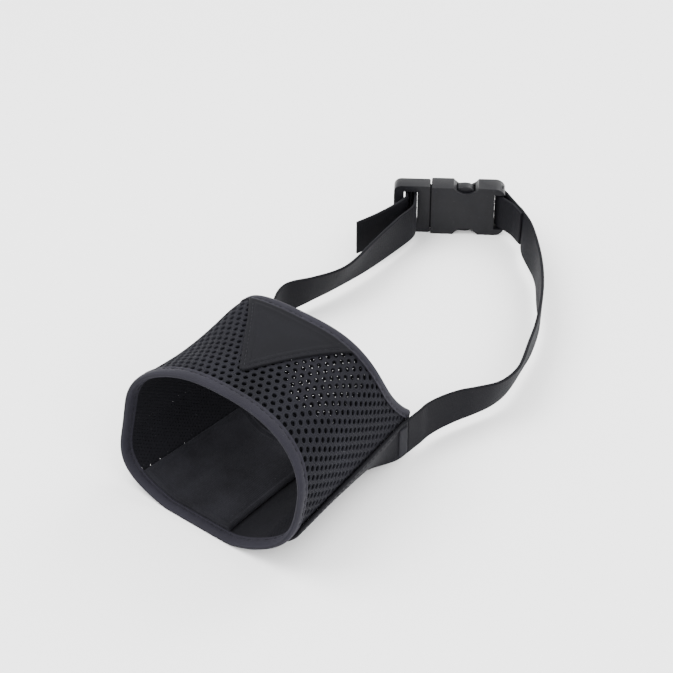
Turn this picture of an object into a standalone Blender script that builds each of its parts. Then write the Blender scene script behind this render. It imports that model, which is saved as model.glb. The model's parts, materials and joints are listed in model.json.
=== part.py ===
# Soft mesh sleeve muzzle for a dog, with a webbing neck loop and a side-release buckle.
# It lies on a flat surface: +Y runs from the nose opening to the neck, +X is the dog's left
# seen from above, +Z is up. Metres throughout.
import math

import bmesh
import bpy
from mathutils import Matrix, Vector

# ---- where the sleeve stands in the frame (the origin is under the middle of the whole object)
sleeve_x = 0.0157
front_y = -0.1452

# ---- sleeve: a soft tube with an oval section
front_half_width = 0.0540
front_height = 0.0740
front_tilt = 0.0140          # how far the top of the front rim leans back
rear_half_width = 0.0420
rear_height = 0.0765
rear_shift = -0.0030         # the rear end sits a little to one side
front_skew = 0.05            # sideways lean of the front rim
front_roundness = 2.45       # exponent of the oval; 2 is an ellipse, more is squarer
rear_roundness = 3.00
floor_sag = 0.0013           # how far the chin settles onto the surface
top_length_y = 0.0800        # rear edge on top, measured from the front rim
corner_length_y = 0.1050     # rear corners, where the neck straps leave the sleeve
chin_length_y = 0.0960       # rear edge under the chin
rear_sweep = 2.3             # how sharply the rear edge runs out to the corners
cloth = 0.0020               # thickness of the padded mesh cloth
gap = 0.0003                 # clearance between pieces that touch
stations = 64                # points around the sleeve
top_seam = math.radians(90)
chin_seam = math.radians(-50)

# ---- binding tape around the two open ends
tape_width = 0.0055
tape_proud = 0.0006
tape_lap = 0.0006

# ---- nose patch, chin lining
patch_thickness = 0.0010
patch_half_width = 0.0300
patch_front = 0.0165         # from the front rim to the point of the patch
lining_thickness = 0.0022
lining_front = 0.0062
lining_rear = 0.0700
lining_left = math.radians(-132)
lining_right = math.radians(-77)

# ---- webbing
webbing_width = 0.0200
webbing_thickness = 0.0015
band_top_front = 0.0235      # height of the sewn band's upper edge at the nose end
band_lift_from = 0.66        # shares of the sleeve's side: the webbing leaves the curve of
band_upright_from = 0.90     # the cloth at the first and stands upright from the second
hinge_clearance = 0.0019     # between the sewn band's hollow end and the free strap's round end
tack_length = 0.0060
tack_height = 0.0150
tack_thickness = 0.0008

# ---- neck loop, seen from above
loop_depth = 0.1647          # from the rear corners to the middle of the buckle
buckle_side = -0.0626        # middle of the buckle, from the sleeve's centre plane
buckle_turn = math.radians(37)
# share of the loop's depth, offset from the strap's own corner, lean of the webbing in degrees
left_route = [(0.09, -0.0125, 0), (0.17, -0.0235, 0), (0.25, -0.0280, 4), (0.34, -0.0235, 18),
              (0.42, -0.0198, 25), (0.49, -0.0188, 23), (0.61, -0.0198, 10)]
left_approach = [(0.0060, -0.0219), (0.0050, -0.0088)]   # from where it enters the plug
right_route = [(0.06, -0.0006, 0), (0.11, 0.0004, 2), (0.17, 0.0035, 6), (0.22, 0.0078, 12),
               (0.28, 0.0118, 19), (0.34, 0.0127, 20), (0.40, 0.0110, 18), (0.48, 0.0068, 12),
               (0.58, 0.0013, 6), (0.70, -0.0085, 2), (0.80, -0.0212, 8), (0.90, -0.0362, 12),
               (0.995, -0.0535, 12)]

# ---- side-release buckle: u runs along it from the plug to the socket, w through its thickness
buckle_edge = 0.0038         # rail beside the webbing
rail_clearance = 0.0009
socket_length = 0.0400
socket_thickness = 0.0105
socket_wall = 0.0019
socket_mouth_u = -0.0117
socket_pocket = 0.0260       # depth of the socket's pocket
window_start = 0.0137        # from the mouth
window_length = 0.0100
finger_radius = 0.0100
finger_depth = 0.0022
socket_bar_radius = 0.0015
socket_bar_inset = 0.0024    # bar centre from the end of the rails
wrap_length = 0.0150
wrap_turn = math.radians(-64)
plug_length = 0.0185
plug_thickness = 0.0072
plug_gap = 0.0016            # between the plug's shoulder and the socket's mouth
plug_end_bar = 0.0030
plug_bar_radius = 0.0014
plug_bar_inset = 0.0092      # middle bar from the plug's outer end
plug_shoulder = 0.0036
guide_half_height = 0.0026
guide_length = 0.0200
prong_clearance = 0.0006
arm_thickness = 0.0022
arm_root_radius = 0.0013
arm_root_height = 0.0083
button_proud = 0.0013        # how far the buttons stand past the pocket's side
tail_reach = 0.0065          # how far the webbing stands straight out of the plug's slots
tail_route = [(0.0004, -0.0070), (-0.0003, -0.0160), (-0.0018, -0.0260), (-0.0043, -0.0370)]

# ---- worked out from the sizes above
buckle_half_height = webbing_width / 2 + rail_clearance + buckle_edge
webbing_mid_z = buckle_half_height
slot_half_height = webbing_width / 2 + rail_clearance
corner_top_z = webbing_mid_z + webbing_width / 2
pocket_half_height = buckle_half_height - socket_wall
pocket_half_thickness = socket_thickness / 2 - socket_wall
buckle_y = corner_length_y + loop_depth
layer_in = tape_proud + gap
layer_mid = layer_in + webbing_thickness / 2
wrap_radius = socket_bar_radius + gap + webbing_thickness / 2
turn_radius = plug_bar_radius + gap + webbing_thickness / 2
socket_end_u = socket_mouth_u + socket_length
socket_bar_u = socket_end_u - socket_bar_inset
plug_inner_u = socket_mouth_u - plug_gap
plug_outer_u = plug_inner_u - plug_length
plug_bar_u = plug_outer_u + plug_bar_inset
arm_root_u = plug_inner_u + 0.0012 + gap + arm_root_radius


def clear_scene():
    for item in list(bpy.data.objects):
        bpy.data.objects.remove(item, do_unlink=True)


def material(name, colour, roughness):
    made = bpy.data.materials.new(name)
    made.use_nodes = True
    shader = made.node_tree.nodes["Principled BSDF"]
    shader.inputs["Base Color"].default_value = (*colour, 1.0)
    shader.inputs["Roughness"].default_value = roughness
    shader.inputs["Metallic"].default_value = 0.0
    return made


def add_object(name, mesh, coat, place=None, parent=None):
    item = bpy.data.objects.new(name, mesh)
    bpy.context.scene.collection.objects.link(item)
    item.data.materials.append(coat)
    if parent is not None:
        item.parent = parent
    if place is not None:
        item.location = place
    return item


def add_empty(name, place, turn=0.0, parent=None):
    item = bpy.data.objects.new(name, None)
    bpy.context.scene.collection.objects.link(item)
    item.location = place
    item.rotation_euler = (0.0, 0.0, turn)
    item.parent = parent
    return item


def mesh_from(bm, name, smooth=True):
    bmesh.ops.recalc_face_normals(bm, faces=bm.faces)
    mesh = bpy.data.meshes.new(name)
    bm.to_mesh(mesh)
    bm.free()
    if smooth:
        mesh.shade_smooth()
        mesh.set_sharp_from_angle(angle=math.radians(40))
    return mesh


def lerp(a, b, share):
    return a + (b - a) * share


def ease(share):
    share = min(max(share, 0.0), 1.0)
    return share * share * (3 - 2 * share)


# ---- closed solid between two grids of points: an outer and an inner skin
def slab(name, outer, inner, ring=False):
    bm = bmesh.new()
    rows = len(outer)
    columns = len(outer[0])
    top = [[bm.verts.new(point) for point in row] for row in outer]
    low = [[bm.verts.new(point) for point in row] for row in inner]
    spans = rows if ring else rows - 1
    for i in range(spans):
        k = (i + 1) % rows
        for j in range(columns - 1):
            bm.faces.new((top[i][j], top[k][j], top[k][j + 1], top[i][j + 1]))
            bm.faces.new((low[i][j + 1], low[k][j + 1], low[k][j], low[i][j]))
        bm.faces.new((low[i][0], low[k][0], top[k][0], top[i][0]))
        bm.faces.new((top[i][-1], top[k][-1], low[k][-1], low[i][-1]))
    if not ring:
        for j in range(columns - 1):
            bm.faces.new((top[0][j], top[0][j + 1], low[0][j + 1], low[0][j]))
            bm.faces.new((low[-1][j], low[-1][j + 1], top[-1][j + 1], top[-1][j]))
    return mesh_from(bm, name)


# ---- the sleeve's skin: along runs 0 to 1 from the front rim to the rear edge,
# angle goes around from the right side over the top, depth is inwards from the cloth's face
def signed_power(value, power):
    return math.copysign(abs(value) ** power, value)


def front_edge_y(z):
    return front_tilt * z / front_height


def rear_edge_y(z):
    if z >= corner_top_z:
        share = min((rear_height - z) / (rear_height - corner_top_z), 1.0)
        return lerp(top_length_y, corner_length_y, max(share, 0.0) ** rear_sweep)
    share = max(z, 0.0) / corner_top_z
    return lerp(chin_length_y, corner_length_y, ease(share * 1.6))


def section(along, angle, depth):
    power = 2 / lerp(front_roundness, rear_roundness, along)
    half_width = lerp(front_half_width, rear_half_width, along) - depth
    half_height = lerp(front_height, rear_height, along) / 2
    x = half_width * signed_power(math.cos(angle), power) + rear_shift * along
    z = half_height + (half_height - depth) * signed_power(math.sin(angle), power) - floor_sag
    x += front_skew * (1 - along) * (z - half_height)
    return x, max(z, max(depth, 0.0))


def skin(along, angle, depth):
    x, z = section(along, angle, depth)
    face_z = section(along, angle, 0.0)[1]
    y = lerp(front_edge_y(face_z), rear_edge_y(face_z), along)
    return Vector((sleeve_x + x, front_y + y, z))


def span_at(angle):
    return skin(1.0, angle, 0.0).y - skin(0.0, angle, 0.0).y


def from_front(angle, distance):
    return distance / span_at(angle)


def from_rear(angle, distance):
    return 1.0 - distance / span_at(angle)


def angles_between(start, stop, count):
    return [lerp(start, stop, i / (count - 1)) for i in range(count)]


# the bound edges and the panels share their stations around the sleeve, so their seams match
def station_angle(number):
    return 2 * math.pi * (number + 0.5) / stations


def stations_between(start, stop):
    inside = [station_angle(k) for k in range(-stations, stations)]
    margin = 0.25 * 2 * math.pi / stations
    return [start] + [a for a in inside if start + margin < a < stop - margin] + [stop]


# ---- panels of the sleeve between the two bound edges
def panel(name, start, stop, steps, coat):
    outer = []
    inner = []
    for angle in stations_between(start, stop):
        first = from_front(angle, tape_width + gap)
        last = from_rear(angle, tape_width + gap)
        shares = [lerp(first, last, i / steps) for i in range(steps + 1)]
        outer.append([skin(share, angle, 0.0) for share in shares])
        inner.append([skin(share, angle, cloth) for share in shares])
    return add_object(name, slab(name, outer, inner), coat)


def seam_offset():
    return gap / front_height


def tape_ring(name, at_front, coat):
    outer = []
    inner = []
    for number in range(stations):
        angle = station_angle(number)
        if at_front:
            shares = [0.0, from_front(angle, tape_width / 2), from_front(angle, tape_width)]
        else:
            shares = [from_rear(angle, tape_width), from_rear(angle, tape_width / 2), 1.0]
        outer.append([skin(share, angle, -tape_proud) for share in shares])
        inner.append([skin(share, angle, cloth + tape_lap) for share in shares])
    return add_object(name, slab(name, outer, inner, ring=True), coat)


# ---- the triangular patch lies on the top of the sleeve, its point towards the nose
def nose_patch(coat):
    first = from_front(top_seam, patch_front)
    last = from_rear(top_seam, tape_width + gap)
    outer = []
    inner = []
    for i in range(11):
        share = i / 10
        along = lerp(first, last, share)
        half = lerp(0.0012, patch_half_width, share)
        reach = lerp(front_half_width, rear_half_width, along)
        power = lerp(front_roundness, rear_roundness, along) / 2
        edge = math.acos((half / reach) ** power)
        line = angles_between(edge, math.pi - edge, 13)
        outer.append([skin(along, angle, -patch_thickness - gap) for angle in line])
        inner.append([skin(along, angle, -gap) for angle in line])
    return add_object("nose_patch", slab("nose_patch", outer, inner), coat)


def chin_lining(coat):
    outer = []
    inner = []
    for angle in angles_between(lining_left, lining_right, 15):
        first = from_front(angle, lining_front)
        last = from_front(angle, lining_rear)
        shares = [lerp(first, last, i / 6) for i in range(7)]
        outer.append([skin(share, angle, cloth + gap) for share in shares])
        inner.append([skin(share, angle, cloth + gap + lining_thickness) for share in shares])
    return add_object("chin_lining", slab("chin_lining", outer, inner), coat)


# ---- webbing sewn along the lower sides; side is +1 on the right and -1 on the left
def mirrored(angle, side):
    return angle if side > 0 else math.pi - angle


def angle_at_height(along, height, side):
    low = math.radians(-90)
    high = math.radians(0)
    for _ in range(40):
        middle = (low + high) / 2
        if section(along, mirrored(middle, side), 0.0)[1] < height:
            low = middle
        else:
            high = middle
    return high


def angle_after(along, start, distance, side):
    angle = start
    travelled = 0.0
    last = Vector(section(along, mirrored(angle, side), -layer_mid))
    while travelled < distance:
        angle -= math.radians(0.5)
        point = Vector(section(along, mirrored(angle, side), -layer_mid))
        travelled += (point - last).length
        last = point
    return angle


# the webbing stands upright over the last part of the sleeve, clear of its widest place there
def corner_x(side):
    places = []
    for i in range(6):
        along = lerp(band_upright_from, 1.0, i / 5)
        angle = angle_at_height(along, corner_top_z, side)
        places.append(section(along, mirrored(angle, side), -layer_mid)[0] * side)
    return max(places) * side


def band_point(share, across, depth, side, first_y):
    # across runs from -1 at the lower edge of the webbing to +1 at its upper edge
    radius = webbing_width / 2 + hinge_clearance
    height = across * webbing_width / 2
    last_y = front_y + corner_length_y - math.sqrt(radius * radius - height * height)
    y = lerp(first_y, last_y, share)
    run = (y - front_y) / corner_length_y
    top_z = lerp(band_top_front, corner_top_z, ease(run * 1.2))
    along = run
    for _ in range(4):
        top = angle_at_height(along, top_z, side)
        angle = angle_after(along, top, webbing_width * (1 - across) / 2, side)
        face_z = section(along, mirrored(angle, side), 0.0)[1]
        near = front_y + front_edge_y(face_z)
        along = (y - near) / (front_y + rear_edge_y(face_z) - near)
    x, z = section(along, mirrored(angle, side), -depth)
    flat_x = corner_x(side) + side * (depth - layer_mid)
    flat_z = webbing_mid_z + height
    blend = ease((run - band_lift_from) / (band_upright_from - band_lift_from))
    mixed_x = lerp(x, flat_x, blend)
    mixed_z = lerp(z, flat_z, blend)
    beside = angle_at_height(along, mixed_z, side)
    skin_x = section(along, mirrored(beside, side), -depth)[0]
    return Vector((sleeve_x + side * max(side * mixed_x, side * skin_x), y, mixed_z))


def band_start_y():
    return front_y + tape_width + 3 * gap + front_edge_y(band_top_front)


def side_band(name, side, coat):
    outer = []
    inner = []
    first_y = band_start_y()
    for i in range(9):
        across = lerp(-1, 1, i / 8)
        shares = [j / 12 for j in range(13)]
        depths = (layer_in + webbing_thickness, layer_in)
        outer.append([band_point(s, across, depths[0], side, first_y) for s in shares])
        inner.append([band_point(s, across, depths[1], side, first_y) for s in shares])
    return add_object(name, slab(name, outer, inner), coat)


def corner_tack(name, side, coat):
    outer = []
    inner = []
    first_y = band_start_y()
    face = layer_in + webbing_thickness + gap
    reach = tack_height / webbing_width
    for i in range(5):
        across = lerp(-reach, reach, i / 4)
        shares = [lerp(0.93 - tack_length / corner_length_y, 0.93, j / 2) for j in range(3)]
        outer.append([band_point(s, across, face + tack_thickness, side, first_y) for s in shares])
        inner.append([band_point(s, across, face, side, first_y) for s in shares])
    return add_object(name, slab(name, outer, inner), coat)


# ---- free webbing: a ribbon standing on edge along a smooth line seen from above
def smooth_line(points, steps):
    padded = [points[0] * 2 - points[1]] + points + [points[-1] * 2 - points[-2]]
    line = []
    for i in range(1, len(padded) - 2):
        a, b, c, d = padded[i - 1:i + 3]
        for k in range(steps):
            t = k / steps
            line.append(0.5 * (2 * b + (c - a) * t + (2 * a - 5 * b + 4 * c - d) * t * t
                               + (3 * b - a - 3 * c + d) * t ** 3))
    return line + [points[-1]]


def station_normals(line):
    normals = []
    for i, point in enumerate(line):
        ahead = line[min(i + 1, len(line) - 1)] - line[max(i - 1, 0)]
        flat = Vector((ahead.x, ahead.y))
        normals.append(Vector((flat.y, -flat.x)).normalized())
    return normals


def ribbon_grids(line, round_start=False):
    # every point of the line is (x, y, lean in radians); lean tips the top towards the normal
    normals = station_normals(line)
    outer = []
    inner = []
    for i in range(9):
        across = lerp(-1, 1, i / 8) * webbing_width / 2
        row_out = []
        row_in = []
        for k, point in enumerate(line):
            normal = Vector((normals[k].x, normals[k].y, 0.0))
            up = Vector((0, 0, 1)) * math.cos(point.z) + normal * math.sin(point.z)
            face = normal * math.cos(point.z) - Vector((0, 0, 1)) * math.sin(point.z)
            y = point.y
            if round_start and k == 0:
                y -= math.sqrt(max((webbing_width / 2) ** 2 - across * across, 0.0))
            middle = Vector((point.x, y, webbing_mid_z)) + up * across
            row_out.append(middle + face * webbing_thickness / 2)
            row_in.append(middle - face * webbing_thickness / 2)
        outer.append(row_out)
        inner.append(row_in)
    return outer, inner


def ribbon(name, line, coat, round_start=False, parent=None, origin=None):
    outer, inner = ribbon_grids(line, round_start)
    mesh = slab(name, outer, inner)
    if origin is not None:
        mesh.transform(Matrix.Translation(-origin))
    return add_object(name, mesh, coat, place=origin, parent=parent)


def buckle_to_row(u, w):
    middle = Vector((sleeve_x + buckle_side, front_y + buckle_y))
    along = Vector((math.cos(buckle_turn), math.sin(buckle_turn)))
    through = Vector((-along.y, along.x))
    return middle + along * u + through * w


def flat_station(point, lean=0.0):
    return Vector((point.x, point.y, math.radians(lean)))


def strap_line(side, route, ending):
    start = Vector((sleeve_x + corner_x(side), front_y + corner_length_y, 0.0))
    points = [start, start + Vector((0.0, 0.004, 0.0))]
    for share, offset, lean in route:
        points.append(start + Vector((offset, share * loop_depth, math.radians(lean))))
    points += ending
    return smooth_line(points, 3)


# ---- webbing folded round the socket's bar and sewn back on itself
def wrap_point(angle, reach):
    bar = Vector((socket_bar_u, 0.0))
    away = Vector((math.cos(wrap_turn), math.sin(wrap_turn)))
    offset = Vector((math.cos(angle), math.sin(angle))) * wrap_radius
    local = bar + offset + away * reach
    return buckle_to_row(local.x, local.y)


def wrap_line():
    outer_leg = wrap_turn + math.pi / 2
    line = [wrap_point(outer_leg, reach) for reach in (wrap_length, wrap_length / 2, 0.0)]
    line += [wrap_point(outer_leg + math.pi * i / 10, 0.0) for i in range(1, 10)]
    inner_leg = outer_leg + math.pi
    line += [wrap_point(inner_leg, reach) for reach in (0.0, wrap_length / 2, wrap_length)]
    return [flat_station(point) for point in line]


def right_strap_line():
    outer_leg = wrap_turn + math.pi / 2
    ending = [flat_station(wrap_point(outer_leg, wrap_length + reach)) for reach in (0.006, gap)]
    return strap_line(1, right_route, ending)


# ---- webbing threaded round the plug's middle bar, with its loose tail
def turn_point(angle):
    u = plug_bar_u + turn_radius * math.cos(angle)
    return buckle_to_row(u, turn_radius * math.sin(angle))


def left_strap_line():
    leg_u = plug_bar_u + turn_radius
    entry = buckle_to_row(leg_u, -tail_reach - gap)
    ending = [flat_station(entry + Vector(step)) for step in left_approach]
    ending += [flat_station(buckle_to_row(leg_u, -tail_reach - 0.0020)), flat_station(entry)]
    return strap_line(-1, left_route, ending)


def tail_line():
    leg_u = plug_bar_u + turn_radius
    line = [buckle_to_row(leg_u, w) for w in (-tail_reach, -tail_reach / 2, 0.0)]
    line += [turn_point(math.pi * i / 10) for i in range(1, 10)]
    line += [buckle_to_row(plug_bar_u - turn_radius, w) for w in (0.0, -tail_reach / 2)]
    leave = buckle_to_row(plug_bar_u - turn_radius, -tail_reach)
    route = [flat_station(line[-1]), flat_station(leave)]
    route += [flat_station(leave + Vector(step)) for step in tail_route]
    return [flat_station(point) for point in line[:-1]] + smooth_line(route, 3)


# ---- buckle pieces, in the buckle's own axes
def box_mesh(name, low, high):
    bm = bmesh.new()
    bmesh.ops.create_cube(bm, size=1.0)
    size = Vector(high) - Vector(low)
    middle = (Vector(high) + Vector(low)) / 2
    bmesh.ops.scale(bm, vec=size, verts=bm.verts)
    bmesh.ops.translate(bm, vec=middle, verts=bm.verts)
    return mesh_from(bm, name, smooth=False)


def rod_mesh(name, radius, low, high, axis, place, sides=16):
    bm = bmesh.new()
    bmesh.ops.create_cone(bm, cap_ends=True, segments=sides, radius1=radius, radius2=radius,
                          depth=high - low)
    bmesh.ops.translate(bm, vec=(0, 0, (low + high) / 2), verts=bm.verts)
    if axis == "W":
        bmesh.ops.rotate(bm, matrix=Matrix.Rotation(math.pi / 2, 3, "X"), verts=bm.verts)
    bmesh.ops.translate(bm, vec=place, verts=bm.verts)
    return mesh_from(bm, name)


def bevelled(item, width, segments=2):
    bevel = item.modifiers.new("edge_round", "BEVEL")
    bevel.width = width
    bevel.segments = segments
    bevel.limit_method = "ANGLE"
    bevel.angle_limit = math.radians(50)


def combine(item, name, mesh, operation):
    other = add_object(name, mesh, item.data.materials[0], parent=item.parent)
    other.location = item.location
    other.hide_render = True
    other.display_type = "WIRE"
    step = item.modifiers.new(name, "BOOLEAN")
    step.operation = operation
    step.solver = "EXACT"
    step.object = other


def buckle_socket(parent, coat):
    half = buckle_half_height
    thick = socket_thickness / 2
    low = (socket_mouth_u, -thick, -half)
    body = add_object("buckle_socket", box_mesh("buckle_socket", low, (socket_end_u, thick, half)),
                      coat, parent=parent)
    bevelled(body, 0.0012)
    reach = 0.004
    pocket = box_mesh("pocket", (socket_mouth_u - reach, -pocket_half_thickness, -pocket_half_height),
                      (socket_mouth_u + socket_pocket, pocket_half_thickness, pocket_half_height))
    combine(body, "socket_pocket_cut", pocket, "DIFFERENCE")
    first = socket_mouth_u + window_start
    window = box_mesh("window", (first, -pocket_half_thickness, -half - reach),
                      (first + window_length, pocket_half_thickness, half + reach))
    combine(body, "socket_window_cut", window, "DIFFERENCE")
    for side in (-1, 1):
        place = (first + window_length / 2, 0.0, side * (half + finger_radius - finger_depth))
        notch = rod_mesh("finger", finger_radius, -thick - reach, thick + reach, "W", place, 28)
        combine(body, "socket_finger_cut_" + ("low" if side < 0 else "high"), notch, "DIFFERENCE")
    slot_start = socket_bar_u - wrap_radius - webbing_thickness / 2 - rail_clearance
    slot = box_mesh("slot", (slot_start, -thick - reach, -slot_half_height),
                    (socket_end_u + reach, thick + reach, slot_half_height))
    combine(body, "socket_slot_cut", slot, "DIFFERENCE")
    bar = rod_mesh("bar", socket_bar_radius, -half + 0.0012, half - 0.0012, "Z",
                   (socket_bar_u, 0.0, 0.0))
    combine(body, "socket_bar_add", bar, "UNION")
    return body


def buckle_plug(parent, coat):
    half = buckle_half_height
    thick = plug_thickness / 2
    body = add_object("buckle_plug", box_mesh("buckle_plug", (plug_outer_u, -thick, -half),
                                              (plug_inner_u, thick, half)), coat, parent=parent)
    bevelled(body, 0.0010)
    reach = 0.004
    slot = box_mesh("slot", (plug_outer_u + plug_end_bar, -thick - reach, -slot_half_height),
                    (plug_inner_u - plug_shoulder, thick + reach, slot_half_height))
    combine(body, "plug_slot_cut", slot, "DIFFERENCE")
    bar = rod_mesh("bar", plug_bar_radius, -half + 0.0012, half - 0.0012, "Z",
                   (plug_bar_u, 0.0, 0.0))
    combine(body, "plug_bar_add", bar, "UNION")
    inner = pocket_half_thickness - prong_clearance
    neck = box_mesh("neck", (plug_inner_u - 0.001, -inner, -pocket_half_height + prong_clearance),
                    (plug_inner_u + 0.0012, inner, pocket_half_height - prong_clearance))
    combine(body, "plug_neck_add", neck, "UNION")
    guide = box_mesh("guide", (plug_inner_u - 0.001, -inner + 0.0004, -guide_half_height),
                     (socket_mouth_u + guide_length, inner - 0.0004, guide_half_height))
    combine(body, "plug_guide_add", guide, "UNION")
    return body


# ---- a release arm: a springy tongue with a barb and a button, its origin on its root
def release_arm(name, side, parent, coat):
    window_u = socket_mouth_u + window_start
    catch_u = window_u + gap
    outer_z = pocket_half_height + button_proud
    shelf_z = pocket_half_height - prong_clearance
    inner_z = arm_root_height - arm_root_radius
    outline = []
    for i in range(7):
        angle = math.radians(90 + 180 * i / 6)
        outline.append((arm_root_u + arm_root_radius * math.cos(angle),
                        arm_root_height + arm_root_radius * math.sin(angle)))
    outline += [(catch_u, inner_z - 0.0004),
                (window_u + window_length - 0.0010, shelf_z - 0.0034),
                (window_u + window_length + 0.0006, shelf_z - 0.0022),
                (window_u + window_length - 0.0008, shelf_z - 0.0003),
                (window_u + window_length * 0.70, outer_z - 0.0003),
                (window_u + window_length * 0.45, outer_z),
                (catch_u + 0.0009, outer_z - 0.0003),
                (catch_u, outer_z - 0.0010),
                (catch_u, shelf_z - 0.0020),
                (catch_u - 0.0040, inner_z + arm_thickness + 0.0008)]
    half = pocket_half_thickness - prong_clearance
    bm = bmesh.new()
    loop = [bm.verts.new((u - arm_root_u, -half, side * (z - arm_root_height)))
            for u, z in outline]
    face = bm.faces.new(loop)
    pushed = bmesh.ops.extrude_face_region(bm, geom=[face])
    moved = [v for v in pushed["geom"] if isinstance(v, bmesh.types.BMVert)]
    bmesh.ops.translate(bm, vec=(0, 2 * half, 0), verts=moved)
    mesh = mesh_from(bm, name, smooth=False)
    return add_object(name, mesh, coat, (arm_root_u, 0.0, side * arm_root_height), parent)


def build():
    clear_scene()
    mesh_cloth = material("mesh_cloth", (0.022, 0.022, 0.027), 0.85)
    smooth_cloth = material("smooth_cloth", (0.030, 0.029, 0.035), 0.75)
    lining_cloth = material("lining_cloth", (0.018, 0.018, 0.022), 0.85)
    tape = material("binding_tape", (0.045, 0.042, 0.054), 0.60)
    webbing = material("webbing", (0.022, 0.022, 0.027), 0.70)
    thread = material("thread", (0.030, 0.030, 0.034), 0.60)
    plastic = material("moulded_plastic", (0.026, 0.026, 0.031), 0.42)

    seam = seam_offset()
    panel("mesh_panel_right", chin_seam + seam, top_seam - seam, 9, mesh_cloth)
    panel("mesh_panel_left", top_seam + seam, math.pi - chin_seam - seam, 9, mesh_cloth)
    panel("chin_panel", -math.pi - chin_seam + seam, chin_seam - seam, 9, smooth_cloth)
    chin_lining(lining_cloth)
    nose_patch(smooth_cloth)
    tape_ring("front_binding", True, tape)
    tape_ring("rear_binding", False, tape)
    side_band("side_band_right", 1, webbing)
    side_band("side_band_left", -1, webbing)
    corner_tack("corner_tack_right", 1, thread)
    corner_tack("corner_tack_left", -1, thread)

    hinge_at = Vector((sleeve_x, front_y + corner_length_y, webbing_mid_z))
    neck = add_empty("neck_loop_axis", hinge_at)
    ribbon("strap_right", right_strap_line(), webbing, round_start=True, origin=hinge_at)
    ribbon("strap_right_wrap", wrap_line(), webbing, origin=hinge_at)
    ribbon("strap_left", left_strap_line(), webbing, round_start=True, origin=hinge_at)

    middle = buckle_to_row(0.0, 0.0)
    buckle_at = Vector((middle.x, middle.y, webbing_mid_z))
    buckle_axis = add_empty("buckle_axis", buckle_at - hinge_at, buckle_turn, neck)
    buckle_socket(buckle_axis, plastic)
    buckle_plug(buckle_axis, plastic)
    ribbon("strap_left_tail", tail_line(), webbing, origin=buckle_at)
    release_arm("release_arm_upper", 1, buckle_axis, plastic)
    release_arm("release_arm_lower", -1, buckle_axis, plastic)


build()
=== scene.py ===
import json
import math

import bmesh
import bpy
import numpy as np
from mathutils import Matrix, Vector


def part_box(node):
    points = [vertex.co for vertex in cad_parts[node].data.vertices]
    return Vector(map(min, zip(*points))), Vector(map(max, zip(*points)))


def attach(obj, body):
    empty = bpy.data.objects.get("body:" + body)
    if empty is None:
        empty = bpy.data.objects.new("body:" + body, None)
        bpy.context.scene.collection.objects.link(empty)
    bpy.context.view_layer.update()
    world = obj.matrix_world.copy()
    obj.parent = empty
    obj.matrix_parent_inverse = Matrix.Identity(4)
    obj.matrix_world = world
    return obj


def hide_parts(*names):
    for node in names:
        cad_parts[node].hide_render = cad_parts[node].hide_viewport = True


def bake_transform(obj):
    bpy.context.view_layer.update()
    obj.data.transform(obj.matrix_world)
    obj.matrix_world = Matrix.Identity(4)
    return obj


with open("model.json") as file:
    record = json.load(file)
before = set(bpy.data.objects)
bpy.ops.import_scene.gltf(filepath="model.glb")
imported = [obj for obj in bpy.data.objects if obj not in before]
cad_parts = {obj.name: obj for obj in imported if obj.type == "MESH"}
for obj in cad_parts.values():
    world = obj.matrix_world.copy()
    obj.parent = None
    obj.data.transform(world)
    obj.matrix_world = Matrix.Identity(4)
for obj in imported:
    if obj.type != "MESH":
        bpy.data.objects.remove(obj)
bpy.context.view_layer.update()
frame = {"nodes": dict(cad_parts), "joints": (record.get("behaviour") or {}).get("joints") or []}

bpy.ops.object.select_all(action="DESELECT")
print("frame loaded:", len(frame["nodes"]), "pieces")

# Metres. +Y runs from the nose opening to the buckle and +Z is up. Right is +X, as someone who
# faces the nose opening sees it. The hinge at the sleeve's rear corners fixes the sleeve, and
# the socket's box fixes the buckle.
hinge = next(joint for joint in frame["joints"] if joint["name"] == "neck_loop_lift")
release = next(joint for joint in frame["joints"] if joint["name"] == "buckle_release")

sleeve = {
    "frontHalfWidth": 0.0540, "frontHeight": 0.0740, "frontTilt": 0.0140,
    "rearHalfWidth": 0.0420, "rearHeight": 0.0765, "rearShift": -0.0030, "frontSkew": 0.05,
    "frontRoundness": 2.45, "rearRoundness": 3.00, "floorSag": 0.0013,
    "topLength": 0.0806, "cornerLength": 0.1050, "chinLength": 0.0960, "rearSweep": 2.15,
    "cornerSweep": 1.6,
    "chinSeam": -50,            # degrees round from the side towards the chin
    "cloth": 0.0020,
}
webbing = {"width": 0.0200, "thickness": 0.0015, "layerIn": 0.0009}
sleeveX = hinge["pos_m"][0]
frontY = hinge["pos_m"][1] - sleeve["cornerLength"]
webbingZ = hinge["pos_m"][2]
cornerTopZ = webbingZ + webbing["width"] / 2
halfTurn = math.pi


def lerp(a, b, share):
    return a + (b - a) * share


def ease(share):
    share = np.clip(share, 0.0, 1.0)
    return share * share * (3 - 2 * share)


def hill(distance, width):
    return np.exp(-(distance / width) ** 2)


def mirrored(angle, side):
    # side is +1 on the right and -1 on the left
    return angle if side > 0 else halfTurn - angle


def travelled(x, z):
    return np.concatenate([[0.0], np.cumsum(np.hypot(np.diff(x), np.diff(z)))])


# the sleeve's skin. along: 0 at the nose rim, 1 at the rear edge. angle: 0 on the right,
# a quarter turn on top. depth: inwards from the cloth's face. All three may be arrays.
softness = [  # along, angle in degrees, reach along, reach in degrees, outwards in metres
    (0.10, 128, 0.28, 26, -0.0012),
    (0.88, 135, 0.22, 22, 0.0026),
    (0.45, 60, 0.35, 40, 0.0006),
    (0.95, 20, 0.20, 28, 0.0008),
    (0.55, 170, 0.35, 22, 0.0009),
    (0.30, -50, 0.32, 22, -0.0030),
    (0.00, 216, 0.35, 20, 0.0028),
    (0.00, 184, 0.25, 14, -0.0016),
    (0.38, 130, 0.20, 24, -0.0022),
]


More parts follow.
